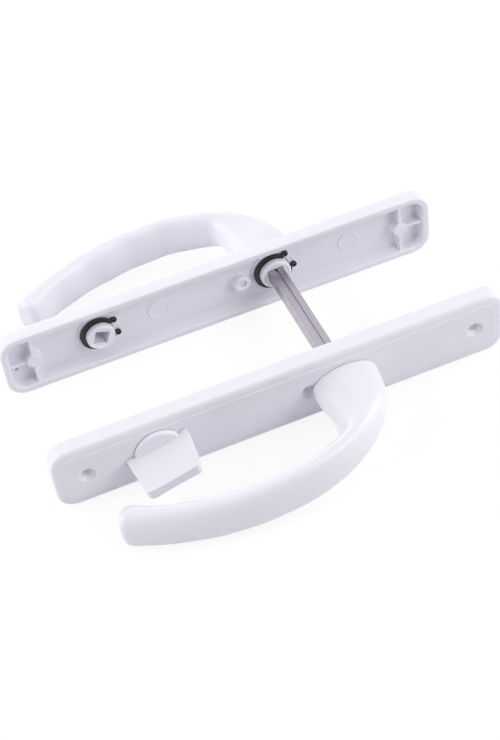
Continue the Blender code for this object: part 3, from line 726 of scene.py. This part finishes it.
def circlip(hub_radius, gap_turn):
    """A sprung ring that narrows towards two drilled lugs."""
    inside = hub_radius - GROOVE_DEPTH + FIT_GAP
    outside = inside + CLIP_BACK_WIDTH
    corners = [(inside, CLIP_NEAR), (outside, CLIP_NEAR), (outside, CLIP_FAR), (inside, CLIP_FAR)]
    bm = bmesh.new()
    face = bm.faces.new([bm.verts.new((radius, -depth, 0)) for radius, depth in corners])
    start = -(gap_turn + CLIP_GAP / 2)
    open_turn = math.tau - CLIP_GAP
    bmesh.ops.rotate(bm, cent=(0, 0, 0), matrix=Matrix.Rotation(start, 3, "Y"), verts=bm.verts[:])
    bmesh.ops.spin(bm, geom=[face, *face.edges, *face.verts], cent=(0, 0, 0), axis=(0, 1, 0),
                   angle=-open_turn, steps=ROUND_STEPS, use_merge=False)
    for vertex in bm.verts:
        radius = math.hypot(vertex.co.x, vertex.co.z)
        if radius > (inside + outside) / 2:
            turn = (math.atan2(vertex.co.z, vertex.co.x) - gap_turn - CLIP_GAP / 2) % math.tau
            share = min(turn / open_turn, 1)
            width = CLIP_END_WIDTH + (CLIP_BACK_WIDTH - CLIP_END_WIDTH) * math.sin(math.pi * share)
            shrink = (inside + width) / radius
            vertex.co = (vertex.co.x * shrink, vertex.co.y, vertex.co.z * shrink)
    bmesh.ops.recalc_face_normals(bm, faces=bm.faces[:])
    lean = math.asin((LUG_RADIUS + inside * math.sin(CLIP_GAP / 2)) / (inside + LUG_OUT))
    for turn in (gap_turn - lean, gap_turn + lean):
        place = (inside + LUG_OUT) * Vector((math.cos(turn), 0, math.sin(turn)))
        lug = bore(LUG_RADIUS, CLIP_NEAR + LUG_DROP, CLIP_FAR - LUG_DROP, LUG_SIDES)
        hole = bore(LUG_HOLE, CLIP_NEAR - PAST, CLIP_FAR + PAST, FINE_HOLE_STEPS)
        bm = combined(bm, moved(lug, *place), "UNION")
        bm = combined(bm, moved(hole, *place), "DIFFERENCE")
    return bm


# Materials

def colour(hex_code):
    """An sRGB hex value as linear RGBA."""
    channels = [int(hex_code[place:place + 2], 16) / 255 for place in (1, 3, 5)]
    linear = [level / 12.92 if level <= 0.04045 else ((level + 0.055) / 1.055) ** 2.4
              for level in channels]
    return (*linear, 1)


def add_node(material, kind, links=None, **settings):
    """A node with its settings; links says which output feeds each input."""
    node = material.node_tree.nodes.new(kind)
    for name, value in settings.items():
        if name in node.inputs:
            node.inputs[name].default_value = value
        else:
            setattr(node, name, value)
    for name, output in (links or {}).items():
        material.node_tree.links.new(output, node.inputs[name])
    return node


def new_material(name):
    """A material and its shader."""
    material = bpy.data.materials.new(name)
    material.use_nodes = True
    return material, material.node_tree.nodes["Principled BSDF"]


def powder_coat(name, gloss):
    """White powder coat, baked on a light alloy die casting.

    It gives a faintly lilac white with a soft, wide highlight, a fine orange peel
    that breaks the highlight up, and a slight cloudiness from one thin coat.
    """
    material, shader = new_material(name)
    place = add_node(material, "ShaderNodeTexCoord").outputs["Object"]
    clouds = add_node(material, "ShaderNodeTexNoise", {"Vector": place}, Scale=1 / CLOUD_SIZE,
                      Detail=3.0, Roughness=0.5)
    tint = add_node(material, "ShaderNodeMix", {"Factor": clouds.outputs["Fac"]},
                    data_type="RGBA")
    tint.inputs["A"].default_value = colour(COAT_PALE)
    tint.inputs["B"].default_value = colour(COAT_DEEP)
    peel = add_node(material, "ShaderNodeTexNoise", {"Vector": place}, Scale=1 / PEEL_SIZE,
                    Detail=2.0, Roughness=0.4)
    sheen = add_node(material, "ShaderNodeMapRange", {"Value": clouds.outputs["Fac"]})
    sheen.inputs["To Min"].default_value = gloss - GLOSS_SPREAD
    sheen.inputs["To Max"].default_value = gloss + GLOSS_SPREAD
    bump = add_node(material, "ShaderNodeBump", {"Height": peel.outputs["Fac"]},
                    Strength=PEEL_STRENGTH, Distance=PEEL_HEIGHT)
    shader.inputs["IOR"].default_value = COAT_IOR
    links = material.node_tree.links
    links.new(tint.outputs["Result"], shader.inputs["Base Color"])
    links.new(sheen.outputs["Result"], shader.inputs["Roughness"])
    links.new(bump.outputs["Normal"], shader.inputs["Normal"])
    return material


def drawn_steel(name):
    """Square bar, cold drawn and zinc plated.

    It gives a grey, satin metal with fine bright and dark streaks along the bar,
    where the die has dragged, and slightly duller patches in the plating.
    """
    material, shader = new_material(name)
    place = add_node(material, "ShaderNodeTexCoord").outputs["Object"]
    along = add_node(material, "ShaderNodeMapping", {"Vector": place})
    along.inputs["Scale"].default_value = (1 / STREAK_WIDTH, 1 / STREAK_LENGTH, 1 / STREAK_WIDTH)
    streaks = add_node(material, "ShaderNodeTexNoise", {"Vector": along.outputs["Vector"]},
                       Scale=1.0, Detail=4.0, Roughness=0.6)
    tint = add_node(material, "ShaderNodeMix", {"Factor": streaks.outputs["Fac"]},
                    data_type="RGBA")
    tint.inputs["A"].default_value = colour(STEEL_DARK)
    tint.inputs["B"].default_value = colour(STEEL_BRIGHT)
    patches = add_node(material, "ShaderNodeTexNoise", {"Vector": place}, Scale=1 / PATCH_SIZE)
    dull = add_node(material, "ShaderNodeMapRange", {"Value": patches.outputs["Fac"]})
    dull.inputs["To Min"].default_value, dull.inputs["To Max"].default_value = STEEL_ROUGHNESS
    bump = add_node(material, "ShaderNodeBump", {"Height": streaks.outputs["Fac"]},
                    Strength=STREAK_STRENGTH, Distance=STREAK_HEIGHT)
    shader.inputs["Metallic"].default_value = 1.0
    links = material.node_tree.links
    links.new(tint.outputs["Result"], shader.inputs["Base Color"])
    links.new(dull.outputs["Result"], shader.inputs["Roughness"])
    links.new(bump.outputs["Normal"], shader.inputs["Normal"])
    return material


def blackened_steel(name):
    """Spring steel, hardened and blackened in oil.

    It gives a near-black skin with a low, oily sheen that is uneven from the bath.
    """
    material, shader = new_material(name)
    place = add_node(material, "ShaderNodeTexCoord").outputs["Object"]
    bath = add_node(material, "ShaderNodeTexNoise", {"Vector": place}, Scale=1 / BATH_SIZE,
                    Detail=5.0)
    tint = add_node(material, "ShaderNodeMix", {"Factor": bath.outputs["Fac"]}, data_type="RGBA")
    tint.inputs["A"].default_value = colour(OXIDE_DEEP)
    tint.inputs["B"].default_value = colour(OXIDE_PALE)
    sheen = add_node(material, "ShaderNodeMapRange", {"Value": bath.outputs["Fac"]})
    sheen.inputs["To Min"].default_value, sheen.inputs["To Max"].default_value = OXIDE_ROUGHNESS
    links = material.node_tree.links
    links.new(tint.outputs["Result"], shader.inputs["Base Color"])
    links.new(sheen.outputs["Result"], shader.inputs["Roughness"])
    return material


def moulded_nylon(name):
    """Injection-moulded nylon, unfilled.

    It gives a milky white with a dull, finely grained face and no sharp highlight.
    """
    material, shader = new_material(name)
    place = add_node(material, "ShaderNodeTexCoord").outputs["Object"]
    grain = add_node(material, "ShaderNodeTexNoise", {"Vector": place}, Scale=1 / GRAIN_SIZE)
    tint = add_node(material, "ShaderNodeMix", {"Factor": grain.outputs["Fac"]}, data_type="RGBA")
    tint.inputs["A"].default_value = colour(NYLON_PALE)
    tint.inputs["B"].default_value = colour(NYLON_DEEP)
    bump = add_node(material, "ShaderNodeBump", {"Height": grain.outputs["Fac"]},
                    Strength=GRAIN_STRENGTH, Distance=GRAIN_HEIGHT)
    shader.inputs["Roughness"].default_value = NYLON_ROUGHNESS
    shader.inputs["IOR"].default_value = NYLON_IOR
    links = material.node_tree.links
    links.new(tint.outputs["Result"], shader.inputs["Base Color"])
    links.new(bump.outputs["Normal"], shader.inputs["Normal"])
    return material


# Assembly

def place_piece(name, node, bm, x, side, angle, body, material):
    """Puts a shape on its side of the door, where its CAD node is."""
    mirror = Matrix.Scale(-1, 4, (0, 1, 0)) if side == OUTER else Matrix.Identity(4)
    place = Matrix.Translation((x, RIM[side], AXIS_HEIGHT)) @ Matrix.Rotation(-angle, 4, "Y")
    bmesh.ops.transform(bm, matrix=place @ mirror, verts=bm.verts[:])
    clean(bm)
    mesh = bpy.data.meshes.new(name)
    bm.to_mesh(mesh)
    bm.free()
    mesh.shade_smooth()
    mesh.set_sharp_from_angle(angle=SMOOTH_ANGLE)
    mesh.materials.append(material)
    piece = bpy.data.objects.new(name, mesh)
    bpy.context.scene.collection.objects.link(piece)
    normals = piece.modifiers.new("flat_stays_flat", "WEIGHTED_NORMAL")
    normals.keep_sharp = True
    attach(piece, body)
    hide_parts(node)


def build_handle():
    """Every piece, with the body that it moves with and its finish."""
    plate_coat = powder_coat("powder_coated_plate", PLATE_GLOSS)
    lever_coat = powder_coat("powder_coated_lever", LEVER_GLOSS)
    turn_coat = powder_coat("powder_coated_turn", TURN_GLOSS)
    steel = drawn_steel("zinc_plated_drawn_steel")
    black = blackened_steel("oil_blackened_spring_steel")
    nylon = moulded_nylon("moulded_nylon")

    place_piece("inner_plate_casting", "inner_plate", plate(countersunk=True), 0, INNER, 0,
                "inner_side", plate_coat)
    place_piece("outer_plate_casting", "outer_plate", plate(countersunk=False), 0, OUTER, 0,
                "outer_side", plate_coat)
    for side, name, body in ((INNER, "inner_lever", "inner_handle"),
                             (OUTER, "outer_lever", "outer_handle")):
        place_piece(name + "_casting", name, lever(), SPINDLE_X, side, DROOP, body,
                    lever_coat)
        place_piece(name + "_ring", name + "_circlip", circlip(LEVER_HUB_RADIUS, LEVER_CLIP_TURN),
                    SPINDLE_X, side, DROOP, body, black)
    place_piece("privacy_turn_casting", "privacy_turn", privacy_turn(), TURN_X, INNER,
                TURN_ANGLE, "thumb_turn", turn_coat)
    place_piece("coin_release_casting", "coin_release", coin_release(), TURN_X, OUTER,
                RELEASE_ANGLE, "release_disc", turn_coat)
    for side, name, angle, body in ((INNER, "privacy_turn", TURN_ANGLE, "thumb_turn"),
                                    (OUTER, "coin_release", RELEASE_ANGLE, "release_disc")):
        place_piece(name + "_ring", name + "_circlip", circlip(TURN_HUB_RADIUS, TURN_CLIP_TURN),
                    TURN_X, side, angle, body, black)
    place_piece("spindle_bar", "spindle", spindle(), SPINDLE_X, INNER, DROOP, "inner_handle",
                steel)
    washers = (("inner_lever_washer", SPINDLE_X, LEVER_HUB_RADIUS, INNER, "inner_side"),
               ("privacy_turn_washer", TURN_X, TURN_HUB_RADIUS, INNER, "inner_side"),
               ("outer_lever_washer", SPINDLE_X, LEVER_HUB_RADIUS, OUTER, "outer_side"),
               ("coin_release_washer", TURN_X, TURN_HUB_RADIUS, OUTER, "outer_side"))
    for node, x, radius, side, body in washers:
        place_piece(node + "_moulding", node, washer(radius), x, side, 0, body, nylon)


# Floor, light and camera

def seen_directly(owner):
    """1 for rays from the camera, mirror rays and rays through glass."""
    path = add_node(owner, "ShaderNodeLightPath")
    sharp = add_node(owner, "ShaderNodeMath", operation="MAXIMUM")
    owner.node_tree.links.new(path.outputs["Is Camera Ray"], sharp.inputs[0])
    owner.node_tree.links.new(path.outputs["Is Glossy Ray"], sharp.inputs[1])
    either = add_node(owner, "ShaderNodeMath", operation="MAXIMUM")
    owner.node_tree.links.new(sharp.outputs[0], either.inputs[0])
    owner.node_tree.links.new(path.outputs["Is Transmission Ray"], either.inputs[1])
    return either.outputs[0]


def white_floor():
    """A plain sheet that the handle stands on, white but for the handle's faint shadow."""
    bm = bmesh.new()
    bmesh.ops.create_grid(bm, x_segments=1, y_segments=1, size=FLOOR_SIZE / 2)
    mesh = bpy.data.meshes.new("floor")
    bm.to_mesh(mesh)
    bm.free()
    floor = bpy.data.objects.new("floor", mesh)
    bpy.context.scene.collection.objects.link(floor)
    material = bpy.data.materials.new("white_paper")
    material.use_nodes = True
    material.node_tree.nodes.clear()
    seen = seen_directly(material)
    matt = add_node(material, "ShaderNodeBsdfDiffuse", Color=colour(FLOOR_BOUNCE))
    shadowed = add_node(material, "ShaderNodeBsdfDiffuse", Color=(*[FLOOR_SHADE] * 3, 1))
    glow = add_node(material, "ShaderNodeEmission", Strength=FLOOR_GLOW)
    paper = add_node(material, "ShaderNodeAddShader")
    material.node_tree.links.new(shadowed.outputs[0], paper.inputs[0])
    material.node_tree.links.new(glow.outputs[0], paper.inputs[1])
    mix = add_node(material, "ShaderNodeMixShader", {"Fac": seen})
    material.node_tree.links.new(matt.outputs[0], mix.inputs[1])
    material.node_tree.links.new(paper.outputs[0], mix.inputs[2])
    add_node(material, "ShaderNodeOutputMaterial", {"Surface": mix.outputs[0]})
    mesh.materials.append(material)


def white_world():
    """White to look at, and a dimmer light on the handle."""
    world = bpy.data.worlds.new("studio")
    world.use_nodes = True
    world.node_tree.nodes.clear()
    seen = seen_directly(world)
    lit = add_node(world, "ShaderNodeBackground", Color=WHITE, Strength=WORLD_LIGHT)
    white = add_node(world, "ShaderNodeBackground", Color=WHITE, Strength=1.0)
    mix = add_node(world, "ShaderNodeMixShader", {"Fac": seen})
    world.node_tree.links.new(lit.outputs[0], mix.inputs[1])
    world.node_tree.links.new(white.outputs[0], mix.inputs[2])
    add_node(world, "ShaderNodeOutputWorld", {"Surface": mix.outputs[0]})
    bpy.context.scene.world = world


def softbox(name, place, watts):
    """A square area lamp that looks at the middle of the handle."""
    lamp = bpy.data.lights.new(name, "AREA")
    lamp.shape = "SQUARE"
    lamp.size = BOX_SIZE
    lamp.energy = watts
    box = bpy.data.objects.new(name, lamp)
    box.location = place
    box.visible_camera = False
    aim = Vector((0, 0, AXIS_HEIGHT)) - Vector(place)
    box.rotation_euler = aim.to_track_quat("-Z", "Y").to_euler()
    bpy.context.scene.collection.objects.link(box)


def camera():
    """Looks down at the handle from its near left, tipped a little to the side."""
    turn, rise, roll = CAMERA_TURN, CAMERA_RISE, CAMERA_ROLL
    back = Vector((math.sin(turn) * math.cos(rise), -math.cos(turn) * math.cos(rise),
                   math.sin(rise)))
    right = Vector((math.cos(turn), math.sin(turn), 0))
    up = back.cross(right)
    facing = Matrix((math.cos(roll) * right + math.sin(roll) * up,
                     math.cos(roll) * up - math.sin(roll) * right, back)).transposed()
    lens = bpy.data.cameras.new("camera")
    lens.lens = FOCAL_LENGTH
    lens.sensor_width = SENSOR_WIDTH
    eye = bpy.data.objects.new("camera", lens)
    eye.matrix_world = Matrix.Translation(CAMERA_PLACE) @ facing.to_4x4()
    bpy.context.scene.collection.objects.link(eye)
    bpy.context.scene.camera = eye


build_handle()
white_floor()
white_world()
for name, place, watts in BOXES:
    softbox(name, place, watts)
camera()
bpy.context.scene.view_settings.view_transform = "Standard"
